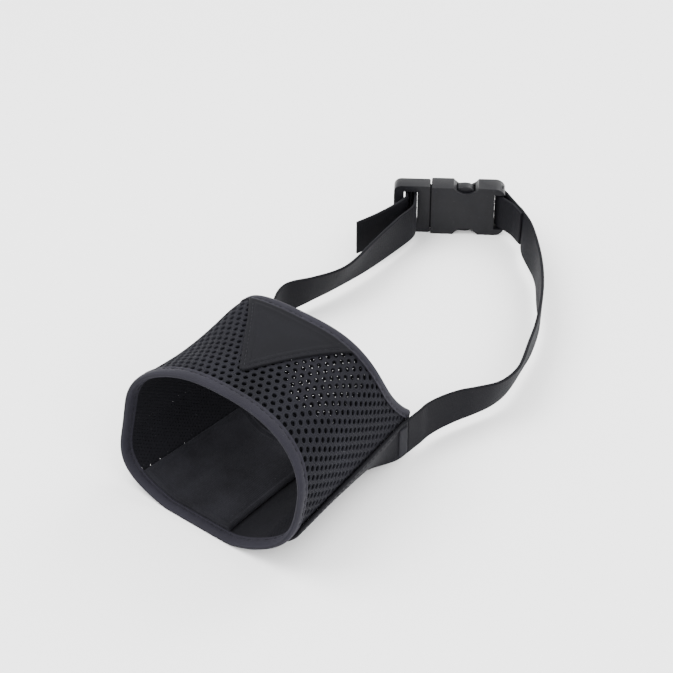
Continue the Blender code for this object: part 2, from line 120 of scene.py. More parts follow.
def swell(along, angle):
    total = 0.0
    turned = np.mod(np.degrees(angle) + 90, 360) - 90
    for centre, middle, reachAlong, reachAngle, amount in softness:
        away = ((along - centre) / reachAlong) ** 2 + ((turned - middle) / reachAngle) ** 2
        total = total + amount * np.exp(-away)
    return total


def signedPower(value, power):
    return np.sign(value) * np.abs(value) ** power


def section(along, angle, depth):
    power = 2 / lerp(sleeve["frontRoundness"], sleeve["rearRoundness"], along)
    halfWidth = lerp(sleeve["frontHalfWidth"], sleeve["rearHalfWidth"], along) - depth
    halfHeight = lerp(sleeve["frontHeight"], sleeve["rearHeight"], along) / 2
    x = halfWidth * signedPower(np.cos(angle), power) + sleeve["rearShift"] * along
    z = halfHeight + (halfHeight - depth) * signedPower(np.sin(angle), power)
    z = z - sleeve["floorSag"]
    x = x + sleeve["frontSkew"] * (1 - along) * (z - halfHeight)
    return x, np.maximum(z, np.maximum(depth, 0.0))


def frontEdge(z):
    return sleeve["frontTilt"] * z / sleeve["frontHeight"]


def rearEdge(z):
    share = np.clip((sleeve["rearHeight"] - z) / (sleeve["rearHeight"] - cornerTopZ), 0, 1)
    upper = lerp(sleeve["topLength"], sleeve["cornerLength"], share ** sleeve["rearSweep"])
    low = np.maximum(z, 0) / cornerTopZ
    lower = lerp(sleeve["chinLength"], sleeve["cornerLength"], ease(low * sleeve["cornerSweep"]))
    return np.where(z >= cornerTopZ, upper, lower)


def skin(along, angle, depth):
    faceZ = section(along, angle, 0.0)[1]
    x, z = section(along, angle, depth - swell(along, angle))
    y = lerp(frontEdge(faceZ), rearEdge(faceZ), along)
    return np.stack(np.broadcast_arrays(sleeveX + x, frontY + y, z), axis=-1)


def spanAt(angle):
    front = section(np.zeros_like(angle), angle, 0.0)[1]
    rear = section(np.ones_like(angle), angle, 0.0)[1]
    return rearEdge(rear) - frontEdge(front)


# the distance round the sleeve from the top, so a cloth's pattern keeps its size
arcRows = 13
arcAngles = np.radians(np.linspace(90, -90, 721))


def arcTable(side, depth=0.0):
    rows = np.linspace(0, 1, arcRows)
    return np.array([travelled(*section(row, mirrored(arcAngles, side), depth)) for row in rows])


arcs = {1: arcTable(1), -1: arcTable(-1)}


def onRows(along, rowValue):
    # rowValue(k, here) is read on the two rows nearest to each place, and the two are mixed
    place = np.clip(along, 0, 1) * (arcRows - 1)
    row = np.minimum(place.astype(int), arcRows - 2)
    out = np.zeros_like(place)
    for k in range(arcRows - 1):
        here = row == k
        if here.any():
            out[here] = lerp(rowValue(k, here), rowValue(k + 1, here), place[here] - k)
    return out


def angleAt(along, around):
    # around is in metres at mid length, positive on the right
    out = np.zeros_like(around)
    for side, table in arcs.items():
        mine = around >= 0 if side > 0 else around < 0
        share = np.abs(around[mine]) / table[arcRows // 2, -1]
        out[mine] = mirrored(onRows(along[mine], lambda k, here: np.interp(
            share[here], table[k] / table[k, -1], arcAngles)), side)
    return out


def clothPoint(distance, around, depth):
    # distance is in metres from the nose rim
    along = distance / sleeve["cornerLength"]
    for _ in range(4):
        angle = angleAt(along, around)
        along = distance / spanAt(angle)
    return skin(along, angle, depth), along, angle


# making pieces. A UV is in metres until it is stored, and in centimetres on the mesh
def fitted(piece, body, slot, *nodes):
    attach(piece, body)
    if nodes:
        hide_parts(*nodes)
    return piece


def gridFaces(rows, columns, start=0, flip=False, closed=False):
    # a closed grid joins its last row and column to its first
    faces = []
    for i in range(rows if closed else rows - 1):
        for j in range(columns if closed else columns - 1):
            k, n = (i + 1) % rows, (j + 1) % columns
            face = [start + i * columns + j, start + k * columns + j,
                    start + k * columns + n, start + i * columns + n]
            faces.append(tuple(face[::-1] if flip else face))
    return faces


def weld(points, faces, uv, near=2e-6):
    # points that share a place become one; faces that collapse are dropped
    keys = np.round(points / near).astype(np.int64)
    _, first, back = np.unique(keys, axis=0, return_index=True, return_inverse=True)
    back = back.ravel()
    kept = []
    for face in faces:
        ring = []
        for corner in face:
            index = int(back[corner])
            if not ring or ring[-1] != index:
                ring.append(index)
        if len(ring) > 1 and ring[0] == ring[-1]:
            ring.pop()
        if len(ring) > 2:
            kept.append(tuple(ring))
    return points[first], kept, uv[first]


def closedPiece(name, points, faces, uv, material, sharp=None):
    points, faces, uv = weld(points, faces, uv)
    triangles = [(f[0], f[k], f[k + 1]) for f in faces for k in range(1, len(f) - 1)]
    corners = points[np.array(triangles)]
    if np.sum(corners[:, 0] * np.cross(corners[:, 1], corners[:, 2])) < 0:    # inside out
        faces = [face[::-1] for face in faces]
    mesh = bpy.data.meshes.new(name)
    mesh.from_pydata(points.tolist(), [], faces)
    mesh.validate()
    corner = np.zeros(len(mesh.loops), np.int32)
    mesh.loops.foreach_get("vertex_index", corner)
    layer = mesh.uv_layers.new(name="cloth")
    layer.data.foreach_set("uv", (uv * 100).astype(np.float32)[corner].ravel())
    mesh.shade_smooth()
    if sharp is not None:
        mesh.set_sharp_from_angle(angle=math.radians(sharp))
    piece = bpy.data.objects.new(name, mesh)
    bpy.context.scene.collection.objects.link(piece)
    mesh.materials.append(material)
    return piece


def rimmed(low, high, step, edge):
    # places from low to high, closer together near both ends, where a rim is round
    near = edge * np.array([0.0, 0.06, 0.22, 0.5, 1.0])
    count = max(int((high - low - 2 * edge) / step), 1)
    middle = np.linspace(low + edge, high - edge, count + 1)[1:-1]
    return np.concatenate([low + near, middle, (high - near)[::-1]])


def roundRim(fromEdge, edge):
    share = 1 - np.clip(fromEdge / edge, 0, 1)
    return np.sqrt(np.maximum(1 - share * share, 0.0))


def fromRim(u, v, rangeU, rangeV):
    return np.minimum(np.minimum(u - rangeU[0], rangeU[1] - u),
                      np.minimum(v - rangeV[0], rangeV[1] - v))


# A sheet between two faces. place(u, v, out) gives points for grids of u and v, whose ranges are
# low, high, step and edge. The sheet is half thick on either side, thinning to nothing over rim,
# and relief raises both faces. edge gives the distance from a border that isn't rectangular.
def sheetPiece(name, place, rangeU, rangeV, half, rim, material, relief, edge=None):
    gridU, gridV = np.meshgrid(rimmed(*rangeU), rimmed(*rangeV), indexing="ij")
    inside = edge(gridU, gridV) if edge else fromRim(gridU, gridV, rangeU, rangeV)
    raised = half * roundRim(inside, rim)
    bump = relief(gridU, gridV) * raised / raised.max()
    outer = place(gridU, gridV, raised + bump).reshape(-1, 3)
    inner = place(gridU, gridV, -raised - bump).reshape(-1, 3)
    faces = gridFaces(*gridU.shape) + gridFaces(*gridU.shape, len(outer), flip=True)
    uv = np.stack([gridU, gridV], axis=-1).reshape(-1, 2)
    return closedPiece(name, np.vstack([outer, inner]), faces, np.vstack([uv, uv]), material)


# Short raised stitches along rows. line(t, out) gives points t metres along a row.
stitch = {"rings": 5, "sides": 6, "arch": 1.1, "sunk": 0.35, "endThickness": 0.45}


def stitchRow(name, rows, values):
    rings, sides = stitch["rings"], stitch["sides"]
    share = np.linspace(0, 1, rings)
    arch = np.sin(halfTurn * share)
    blocks, faces = [], []
    start = 0
    for line, length in rows:
        count = int(length / values["pitch"])
        first = (np.arange(count) + 0.5) * length / count - values["length"] / 2
        t = (first[:, None] + share[None, :] * values["length"]).ravel()
        up = np.tile(values["radius"] * (stitch["arch"] * arch - stitch["sunk"]), count)
        thick = np.tile(lerp(stitch["endThickness"], 1.0, arch), count)[:, None] * values["radius"]
        middle = line(t, up)
        above = line(t, up + 0.0005) - middle
        tall = np.linalg.norm(above, axis=1)
        # no stitch where the cloth lies on the floor and can't be raised
        free = np.repeat((tall > 0.0004).reshape(count, rings).all(axis=1), rings)
        t, up, middle, thick = t[free], up[free], middle[free], thick[free]
        above = above[free] / tall[free][:, None]
        beside = np.cross(line(t + 0.0003, up) - middle, above)
        beside /= np.linalg.norm(beside, axis=1)[:, None]
        turns = [2 * halfTurn * k / sides for k in range(sides)]
        block = np.stack([middle + (beside * math.cos(turn) + above * math.sin(turn)) * thick
                          for turn in turns], axis=1).reshape(-1, 3)
        for base in range(start, start + len(block), rings * sides):
            last = base + (rings - 1) * sides
            for a in range(base, last):
                b = a + 1 if (a - base + 1) % sides else a + 1 - sides
                faces.append((a, b, b + sides, a + sides))
            faces.append(tuple(range(base + sides - 1, base - 1, -1)))
            faces.append(tuple(range(last, last + sides)))
        blocks.append(block)
        start += len(block)
    points = np.vstack(blocks)
    piece = closedPiece(name, points, faces, points[:, :2], sewingThread)
    return fitted(piece, "sleeve", "thread")


# shader groups: each puts out only values that change over the surface
def feed(tree, sockets, values):
    # a socket among the values is linked, and a number or colour is set
    for socket, value in zip(sockets, values):
        if isinstance(value, bpy.types.NodeSocket):
            tree.links.new(value, socket)
        elif value is not None:
            socket.default_value = value


def fill(tree, node, values):
    feed(tree, [node.inputs[label] for label in values], values.values())
    return node


def nodeGroup(name, inputs, outputs):
    group = bpy.data.node_groups.new(name, "ShaderNodeTree")
    for label, kind, value in inputs:
        socket = group.interface.new_socket(label, in_out="INPUT", socket_type="NodeSocket" + kind)
        if value is not None:
            socket.default_value = value
    for label, kind in outputs:
        group.interface.new_socket(label, in_out="OUTPUT", socket_type="NodeSocket" + kind)
    start = group.nodes.new("NodeGroupInput")
    end = group.nodes.new("NodeGroupOutput")
    start.location = (-900, 0)
    end.location = (900, 0)
    return group, start.outputs, end


def maths(tree, operation, first, second=None, third=None, clamp=False):
    node = tree.nodes.new("ShaderNodeMath")
    node.operation = operation
    node.use_clamp = clamp
    feed(tree, node.inputs, (first, second, third))
    return node.outputs[0]


def noise(tree, vector, scale, detail=2.0, roughness=0.5):
    node = tree.nodes.new("ShaderNodeTexNoise")
    fill(tree, node, {"Vector": vector, "Scale": scale, "Detail": detail, "Roughness": roughness})
    return node.outputs["Fac"]


def mixColour(tree, mask, first, second):
    node = tree.nodes.new("ShaderNodeMix")
    node.data_type = "RGBA"
    feed(tree, (node.inputs[0], node.inputs[6], node.inputs[7]), (mask, first, second))
    return node.outputs[2]


def waves(tree, value, turns):
    return maths(tree, "SINE", maths(tree, "MULTIPLY", value, turns * halfTurn))


def gridAxes(tree, given, label):
    # the two UV axes, counted in threads or loops
    split = fill(tree, tree.nodes.new("ShaderNodeSeparateXYZ"), {0: given["Vector"]})
    return [maths(tree, "MULTIPLY", split.outputs[axis], given[label]) for axis in ("X", "Y")]


def makeWeave():
    # crossing threads over and under each other, and a mask of the gaps between them where shade is
    # painted
    group, given, end = nodeGroup(
        "weaveThreads",
        [("Vector", "Vector", None), ("Threads", "Float", 12.0), ("Slope", "Float", 0.5)],
        [("Height", "Float"), ("Gaps", "Float")])
    across, along = gridAxes(group, given, "Threads")
    lean = maths(group, "MULTIPLY_ADD", maths(group, "FLOOR", along), given["Slope"], across)
    over = maths(group, "ABSOLUTE", waves(group, lean, 1))
    ribs = maths(group, "ABSOLUTE", waves(group, along, 1))
    height = maths(group, "MULTIPLY", maths(group, "POWER", over, 0.6), maths(group, "POWER", ribs, 0.5))
    fill(group, end, {"Height": height, "Gaps": maths(group, "SUBTRACT", 1.0, height, clamp=True)})
    return group


def makeKnit():
    # rows of small loops, like the back of a knitted cloth, and a mask of the gaps between them where
    # shade is painted
    group, given, end = nodeGroup(
        "knitLoops",
        [("Vector", "Vector", None), ("Loops", "Float", 14.0)],
        [("Height", "Float"), ("Gaps", "Float")])
    along, across = gridAxes(group, given, "Loops")
    column = maths(group, "PINGPONG", across, 0.5)
    wave = waves(group, maths(group, "MULTIPLY_ADD", column, 0.9, along), 2)
    valley = maths(group, "MULTIPLY_ADD", waves(group, column, 2), 0.5, 0.25)
    height = maths(group, "MULTIPLY_ADD", wave, 0.25, valley)
    fill(group, end, {"Height": height, "Gaps": maths(group, "SUBTRACT", 0.8, height, clamp=True)})
    return group


def makeFibres():
    # uneven dye, a few pale fibres caught in the surface, and painted shade darkening the gaps between
    # threads and loops
    group, given, end = nodeGroup(
        "fibreTone",
        [("Vector", "Vector", None), ("Dark", "Color", (0.02, 0.02, 0.02, 1)),
         ("Light", "Color", (0.04, 0.04, 0.04, 1)), ("Lint", "Float", 0.1), ("Gaps", "Float", 0.0)],
        [("Color", "Color"), ("Shade", "Float")])
    slow = noise(group, given["Vector"], 45.0, 3.0)
    fine = noise(group, given["Vector"], 1900.0, 2.0, 0.7)
    specks = noise(group, given["Vector"], 900.0, 1.0, 0.4)
    tone = maths(group, "ADD", maths(group, "MULTIPLY", slow, 0.6), maths(group, "MULTIPLY", fine, 0.4))
    tone = maths(group, "MULTIPLY_ADD", tone, 3.0, -1.0, clamp=True)
    specks = maths(group, "MULTIPLY_ADD", specks, 24.0, -18.2, clamp=True)
    specks = maths(group, "MULTIPLY", specks, given["Lint"])
    colour = mixColour(group, tone, given["Dark"], given["Light"])
    colour = mixColour(group, specks, colour, (0.16, 0.16, 0.17, 1))
    # painted shade: the gaps between threads and loops are darkened towards near black
    colour = mixColour(group, maths(group, "MULTIPLY", given["Gaps"], 0.65), colour,
                       (0.004, 0.004, 0.005, 1))
    fill(group, end, {"Color": colour, "Shade": tone})
    return group


def makeMoulded():
    # fine spark-eroded grain of a moulding, with rubbed high spots
    group, given, end = nodeGroup(
        "mouldedGrain",
        [("Vector", "Vector", None), ("Dark", "Color", (0.02, 0.02, 0.02, 1)),
         ("Light", "Color", (0.03, 0.03, 0.03, 1))],
        [("Color", "Color"), ("Height", "Float"), ("Gloss", "Float")])
    grain = noise(group, given["Vector"], 5200.0, 2.0, 0.6)
    slow = noise(group, given["Vector"], 160.0, 3.0)
    scuffs = noise(group, given["Vector"], 700.0, 4.0, 0.7)
    rub = maths(group, "MULTIPLY_ADD", scuffs, 9.0, -5.6, clamp=True)
    tone = maths(group, "MULTIPLY_ADD", slow, 1.8, -0.4, clamp=True)
    colour = mixColour(group, tone, given["Dark"], given["Light"])
    colour = mixColour(group, maths(group, "MULTIPLY", rub, 0.25), colour, (0.06, 0.06, 0.065, 1))
    gloss = maths(group, "MULTIPLY_ADD", rub, 0.10, maths(group, "MULTIPLY_ADD", slow, 0.22, 0.30))
    fill(group, end, {"Color": colour, "Height": grain, "Gloss": gloss})
    return group


weaveGroup = makeWeave()
knitGroup = makeKnit()
fibreGroup = makeFibres()
mouldedGroup = makeMoulded()


def placed(tree, group, **values):
    node = tree.nodes.new("ShaderNodeGroup")
    node.node_tree = group
    return fill(tree, node, values).outputs


def newMaterial(name):
    material = bpy.data.materials.new(name)
    material.use_nodes = True
    return material, material.node_tree, material.node_tree.nodes["Principled BSDF"]


def bumpNormal(tree, height, strength, distance):
    bump = tree.nodes.new("ShaderNodeBump")
    fill(tree, bump, {"Strength": strength, "Distance": distance, "Height": height})
    return bump.outputs["Normal"]


# pattern is "weave", "knit" or None; count is threads or loops to the centimetre
def clothMaterial(name, dark, light, pattern, count, roughness, sheen, bump, lint=0.1, slope=0.5):
    material, tree, shader = newMaterial(name)
    coords = tree.nodes.new("ShaderNodeTexCoord").outputs
    # a plain cloth has no gaps, so it gets no painted gap shade
    relief = {"Gaps": 0.0}
    if pattern == "weave":
        relief = placed(tree, weaveGroup, Vector=coords["UV"], Threads=count, Slope=slope)
    elif pattern == "knit":
        relief = placed(tree, knitGroup, Vector=coords["UV"], Loops=count)
    else:
        relief["Height"] = noise(tree, coords["Object"], 2600.0, 2.0)
    tone = placed(tree, fibreGroup, Vector=coords["Object"], Dark=(*dark, 1), Light=(*light, 1),
                  Lint=lint, Gaps=relief["Gaps"])
    fill(tree, shader, {
        "Base Color": tone["Color"],
        "Roughness": maths(tree, "MULTIPLY_ADD", tone["Shade"], 0.12, roughness),
        "Sheen Weight": sheen, "Sheen Roughness": 0.45, "Sheen Tint": (0.80, 0.80, 0.92, 1),
        "Specular IOR Level": 0.06, "Normal": bumpNormal(tree, relief["Height"], 0.6, bump)})
    return material


def plasticMaterial(name, dark, light):
    material, tree, shader = newMaterial(name)
    coords = tree.nodes.new("ShaderNodeTexCoord").outputs
    grain = placed(tree, mouldedGroup, Vector=coords["Object"], Dark=(*dark, 1), Light=(*light, 1))
    fill(tree, shader, {
        "Base Color": grain["Color"], "Roughness": grain["Gloss"], "IOR": 1.5,
        "Specular IOR Level": 0.16, "Normal": bumpNormal(tree, grain["Height"], 0.35, 0.00005)})
    return material


meshCloth = clothMaterial("meshCloth", (0.0062, 0.0062, 0.0080), (0.0115, 0.0115, 0.0150),
                          "knit", 16, roughness=0.74, sheen=0.018, bump=0.00012)
netCloth = clothMaterial("netCloth", (0.0038, 0.0038, 0.0048), (0.0068, 0.0068, 0.0086),
                         None, 0, roughness=0.85, sheen=0.0075, bump=0.00005)
smoothCloth = clothMaterial("smoothCloth", (0.0042, 0.0042, 0.0053), (0.0064, 0.0064, 0.0080),
                            "weave", 26, roughness=0.72, sheen=0.018, bump=0.00006)
liningCloth = clothMaterial("liningCloth", (0.0022, 0.0022, 0.0030), (0.0150, 0.0150, 0.0184),
                            "knit", 11, roughness=0.80, sheen=0.045, bump=0.00022)
bindingTape = clothMaterial("bindingTape", (0.0130, 0.0124, 0.0170), (0.0196, 0.0186, 0.0256),
                            "weave", 20, roughness=0.60, sheen=0.030, bump=0.00006, slope=0.25)
webbingCloth = clothMaterial("webbingCloth", (0.0032, 0.0032, 0.0042), (0.0062, 0.0062, 0.0078),
                             "weave", 32, roughness=0.58, sheen=0.018, bump=0.00003)
sewingThread = clothMaterial("sewingThread", (0.0075, 0.0075, 0.0090), (0.0150, 0.0150, 0.0180),
                             None, 0, roughness=0.50, sheen=0.015, bump=0.00003, lint=0.0)
buckleBlack = plasticMaterial("buckleBlack", (0.0036, 0.0036, 0.0047), (0.0056, 0.0056, 0.0072))
print("materials made")


# open mesh cloth: a knitted sheet with staggered round holes, and a fine net behind it
airMesh = {
    "pitch": 0.0042, "holeRadius": 0.00115, "segments": 18, "front": 0.0026, "rear": 0.0030,
    # each ring: its share of the way from the hole to the cell's edge, and its depth
    "rings": [(1.0, 0.00020), (0.72, 0.00004), (0.40, 0.0), (0.12, 0.00012), (0.0, 0.00045),
              (0.08, 0.00095), (1.0, 0.00110)],
}
innerNet = {
    "pitch": 0.00175, "holeRadius": 0.00033, "segments": 6, "front": 0.0026, "rear": 0.0030,
    "rings": [(0.0, 0.00150), (0.0, 0.00193), (1.0, 0.00197)],
}


def meshSheet(name, side, values, material, node):
    pitch = values["pitch"]
    column = pitch * math.sqrt(3) / 2
    columns = np.arange(1, int(sleeve["cornerLength"] / column) + 1)
    most = int(0.17 / pitch)    # more rows than the way round one side takes
    i, j = np.meshgrid(columns, np.arange(-most, most + 1), indexing="ij")
    centreU = (i * column).ravel()
    centreV = ((j + 0.5 * (i % 2)) * pitch).ravel()
    keep = (centreV >= 0 if side > 0 else centreV < 0) & (np.abs(centreV) < arcs[side][arcRows // 2, -1])
    centreU, centreV = centreU[keep], centreV[keep]
    _, along, angle = clothPoint(centreU, centreV, np.zeros_like(centreU))
    keep = (centreU > values["front"]) & ((1 - along) * spanAt(angle) > values["rear"])
    keep &= mirrored(angle, side) > math.radians(sleeve["chinSeam"])
    centreU, centreV = centreU[keep], centreV[keep]
    segments = values["segments"]
    turn = 2 * halfTurn * np.arange(segments) / segments
    cellEdge = pitch / 2 / np.cos(np.mod(turn, halfTurn / 3) - halfTurn / 6)
    layersU, layersV, depths = [], [], []
    for share, depth in values["rings"]:
        radius = lerp(values["holeRadius"], cellEdge, share)
        layersU.append(centreU[:, None] + radius * np.cos(turn))
        layersV.append(centreV[:, None] + radius * np.sin(turn))
        depths.append(np.full((len(centreU), segments), depth))
    flatU, flatV, depth = (np.stack(layers, axis=1) for layers in (layersU, layersV, depths))
    points = clothPoint(flatU.ravel(), flatV.ravel(), depth.ravel())[0]
    uv = np.stack([flatU.ravel(), flatV.ravel()], axis=-1)
    index = np.arange(len(points)).reshape(flatU.shape)
    ahead = np.roll(index, -1, axis=2)
    quads = np.stack([index[:, :-1], ahead[:, :-1], ahead[:, 1:], index[:, 1:]], axis=-1)
    faces = [tuple(face) for face in quads.reshape(-1, 4).tolist()]
    if values["rings"][0][0] > 0:    # a sheet with two faces gets a wall along its border
        middles = [((flat[:, 0] + np.roll(flat[:, 0], -1, axis=1)) / 2).ravel() for flat in (flatU, flatV)]
        keys = np.round(np.stack(middles, axis=-1) / 1e-6).astype(np.int64)
        _, back, uses = np.unique(keys, axis=0, return_inverse=True, return_counts=True)
        for cell, k in np.argwhere((uses[back.ravel()] == 1).reshape(-1, segments)):
            faces.append((int(ahead[cell, 0, k]), int(index[cell, 0, k]), int(index[cell, -1, k]),
                          int(ahead[cell, -1, k])))
    return fitted(closedPiece(name, points, faces, uv, material, sharp=50), "sleeve", "mesh_cloth", node)


for side, word in ((1, "right"), (-1, "left")):
    for label, values, cloth in (("air_mesh_", airMesh, meshCloth), ("inner_net_", innerNet, netCloth)):
        panel = meshSheet(label + word, side, values, cloth, "mesh_panel_" + word)
        print(panel.name, "faces:", len(panel.data.polygons))


# bound edges: a tape folded over the cloth and sewn through
tape = {
    "width": 0.0055, "proud": 0.0006, "lap": 0.0006, "cloth": 0.0005, "noseRoundness": 2.4,
    "grooveAt": 0.0041, "grooveDepth": 0.00028, "grooveWidth": 0.00050, "profile": 36, "around": 420,
    "pucker": 0.00010, "puckerLength": 0.0060, "puckerReach": 0.0012,
}
tapeStitch = {"pitch": 0.0030, "length": 0.0023, "radius": 0.00020}


def evenAngles(along, count):
    # angles right round the sleeve, the same distance apart, from the top down the right side
    angle = np.linspace(halfTurn / 2, -3 * halfTurn / 2, 2881)
    reached = travelled(*section(np.full_like(angle, along), angle, 0.0))
    places = np.linspace(0, reached[-1], count + 1)[:-1]
    return np.interp(places, reached, angle), reached[-1]


def tapeAlong(distance, angle, atFront):
    return distance / spanAt(angle) if atFront else 1 - distance / spanAt(angle)


def tapeSection(inset):
    # a folded tape's section: distance from the sleeve's edge, and -1 to 1 across it
    turn = np.linspace(0, 2 * halfTurn, tape["profile"])
    power = 2 / tape["noseRoundness"]
    half = tape["width"] / 2
    nose = half + (half - inset) * signedPower(np.cos(turn), power)
    straight = np.cos(turn) > 0
    distance = np.where(straight, half * (1 + np.cos(turn)), nose)
    return distance, np.where(straight, np.sign(halfTurn - turn), signedPower(np.sin(turn), power))


def boundEdge(name, atFront, node):
    angles, length = evenAngles(0.0 if atFront else 1.0, tape["around"])
    metres = np.linspace(0, length, tape["around"], endpoint=False)[:, None]
    pulled = np.sin(2 * halfTurn * metres / tape["puckerLength"]) + 0.6 * np.sin(metres * 390 + 1.0)
    thick = (sleeve["cloth"] + tape["proud"] + tape["lap"]) / 2
    skins, places = [], []
    for inset in (0.0, tape["cloth"]):
        distance, face = tapeSection(inset)
        angle, away = np.broadcast_arrays(angles[:, None], distance[None, :])
        groove = tape["grooveDepth"] * hill(distance - tape["grooveAt"], tape["grooveWidth"])
        pucker = tape["pucker"] * pulled * hill(distance - tape["grooveAt"], tape["puckerReach"])
        depth = sleeve["cloth"] / 2 - face * (thick - inset - groove) - np.sign(face) * pucker
        skins.append(skin(tapeAlong(away, angle, atFront), angle, depth))
        places.append(np.stack(np.broadcast_arrays(metres, away * np.sign(face)), axis=-1))
    points, uv = (np.concatenate([inner, outer[:, ::-1]], axis=1) for inner, outer in (skins, places))
    faces = gridFaces(len(angles), points.shape[1], closed=True)
    piece = closedPiece(name, points.reshape(-1, 3), faces, uv.reshape(-1, 2), bindingTape)
    return fitted(piece, "sleeve", "binding_tape", node)


def tapeLine(atFront, outside):
    angles, length = evenAngles(0.0 if atFront else 1.0, 720)
    metres = np.linspace(0, length, 721)
    closed = np.append(angles, angles[0] - 2 * halfTurn)
    base = tape["proud"] if outside else sleeve["cloth"] + tape["lap"]

    def line(t, out):
        angle = np.interp(t, metres, closed)
        lift = out - tape["grooveDepth"]
        depth = -base - lift if outside else base + lift
        return skin(tapeAlong(np.full_like(t, tape["grooveAt"]), angle, atFront), angle, depth)
    return line, length


for word, atFront in (("front", True), ("rear", False)):
    band = boundEdge(word + "_tape", atFront, word + "_binding")
    rows = [tapeLine(atFront, True), tapeLine(atFront, False)]
    stitches = stitchRow(word + "_tape_stitches", rows, tapeStitch)
print("bound edges made")


# smooth three-cornered patch on top, with a folded and sewn edge
nosePatch = {
    "front": 0.0165, "halfWidth": 0.0300, "tip": 0.0012, "thickness": 0.0010, "step": 0.0007,
    "clear": 0.0001, "rim": 0.0006, "hem": 0.0050, "hemRise": 0.00022, "hemStep": 0.0012,
    "stitchIn": 0.0021, "groove": 0.00022, "grooveWidth": 0.0005, "puff": 0.0005, "puffReach": 0.016,
    "ripple": 0.00006, "rippleReach": 0.008,
}
patchStitch = {"pitch": 0.0029, "length": 0.0022, "radius": 0.00019}
topSpan = float(spanAt(np.array([halfTurn / 2]))[0])
patchLength = topSpan - tape["width"] - 0.0002 - nosePatch["front"]
patchSlope = math.cos(math.atan(nosePatch["halfWidth"] / patchLength))


def patchHalf(u):
    return lerp(nosePatch["tip"], nosePatch["halfWidth"], np.clip(u / patchLength, 0, 1))


def patchEdge(u, v):
    sideways = (1 - np.abs(v) / nosePatch["halfWidth"]) * patchHalf(u) * patchSlope
    return np.minimum(np.minimum(sideways, u), patchLength - u)


def patchPlace(u, v, out):
    along = (nosePatch["front"] + u) / topSpan
    offset = v / nosePatch["halfWidth"] * patchHalf(u)
    reach = lerp(sleeve["frontHalfWidth"], sleeve["rearHalfWidth"], along)
    power = lerp(sleeve["frontRoundness"], sleeve["rearRoundness"], along) / 2
    angle = np.arccos(np.sign(offset) * (np.abs(offset) / reach) ** power)
    return skin(along, angle, -nosePatch["thickness"] / 2 - nosePatch["clear"] - out)


def patchRelief(u, v):
    edge = patchEdge(u, v)
    hem = nosePatch["hemRise"] * ease((nosePatch["hem"] - edge) / nosePatch["hemStep"])
    groove = nosePatch["groove"] * hill(edge - nosePatch["stitchIn"], nosePatch["grooveWidth"])
    middle = nosePatch["puff"] * ease(edge / nosePatch["puffReach"])
    wave = nosePatch["ripple"] * np.sin(u * 700 + 3 * v / nosePatch["halfWidth"])
    ripple = wave * ease(1 - edge / nosePatch["rippleReach"])
    return np.where(edge > 0.0001, hem - groove + middle + ripple, 0.0)


def patchLine(side):
    def line(t, out):
        u = nosePatch["stitchIn"] + t * patchSlope
        v = side * (1 - nosePatch["stitchIn"] / patchSlope / patchHalf(u)) * nosePatch["halfWidth"]
        v = np.where(patchHalf(u) * patchSlope < nosePatch["stitchIn"], 0.0, v)
        raised = nosePatch["thickness"] / 2 + nosePatch["hemRise"] - nosePatch["groove"]
        return patchPlace(u, v, raised + out)
    return line, (patchLength - nosePatch["stitchIn"]) / patchSlope - 0.004


patch = sheetPiece("top_patch", patchPlace, (0, patchLength, nosePatch["step"], 0.0008),
                   (-nosePatch["halfWidth"], nosePatch["halfWidth"], nosePatch["step"], 0.0010),
                   nosePatch["thickness"] / 2, nosePatch["rim"], smoothCloth, patchRelief, patchEdge)
fitted(patch, "sleeve", "smooth_cloth", "nose_patch")
patchStitches = stitchRow("top_patch_stitches", [patchLine(1), patchLine(-1)], patchStitch)
print("patch made")


# chin cloth and the soft pad sewn inside it. v is the distance from the chin's middle
chin = {"overlap": 0.0042, "front": 0.0020, "rear": 0.0020, "rearCurve": 0.003, "half": 0.00094,
        "rim": 0.0012, "step": 0.0014, "dimple": 0.00010}
chinPad = {"front": 0.0050, "rear": 0.0700, "left": -132, "right": -77, "half": 0.00115, "puff": 0.0006,
           "puffReach": 0.008, "seamIn": 0.0032, "seamWidth": 0.0006, "seamDepth": 0.0005,
           "gap": 0.0003, "step": 0.0009, "rim": 0.0012, "edge": 0.0016}


def chinReach(degrees, along):
    # distance from the chin's middle to an angle given in degrees on either side
    side = 1 if degrees > -90 else -1
    down = math.radians(degrees if side > 0 else -180 - degrees)
    row = arcs[side][int(round(along * (arcRows - 1)))]
    return side * (row[-1] - np.interp(-down, -arcAngles, row))


def chinPoint(distance, v, depth):
    right = arcs[1][arcRows // 2, -1] - np.abs(v)
    left = np.abs(v) - arcs[-1][arcRows // 2, -1]
    around = np.where(v >= 0, right, left)
    depth = np.broadcast_to(depth, distance.shape)
    points = clothPoint(distance.ravel(), around.ravel(), depth.ravel())[0]
    return points.reshape(*distance.shape, 3)


chinLow = chinReach(-180 - sleeve["chinSeam"], 0.5) - chin["overlap"]
chinHigh = chinReach(sleeve["chinSeam"], 0.5) + chin["overlap"]
chinAlong = (0, sleeve["chinLength"], chin["step"], chin["rim"])
chinAcross = (chinLow, chinHigh, chin["step"], chin["rim"])
padAlong = (chinPad["front"], chinPad["rear"], chinPad["step"], chinPad["rim"])
padAcross = (chinReach(chinPad["left"], 0.0), chinReach(chinPad["right"], 0.0), *padAlong[2:])


def chinPlace(u, v, out):
    # u is a share of the cloth's length here, since its two ends aren't parallel
    toSide = np.abs(v) / max(-chinLow, chinHigh)
    rear = lerp(sleeve["chinLength"], sleeve["chinLength"] + chin["rearCurve"], toSide ** 3) - chin["rear"]
    distance = lerp(chin["front"], rear, u / sleeve["chinLength"])
    return chinPoint(distance, v, sleeve["cloth"] / 2 - out)


def chinRelief(u, v):
    return chin["dimple"] * np.sin(u * 260 + v * 90) * np.sin(v * 310 + 0.5)


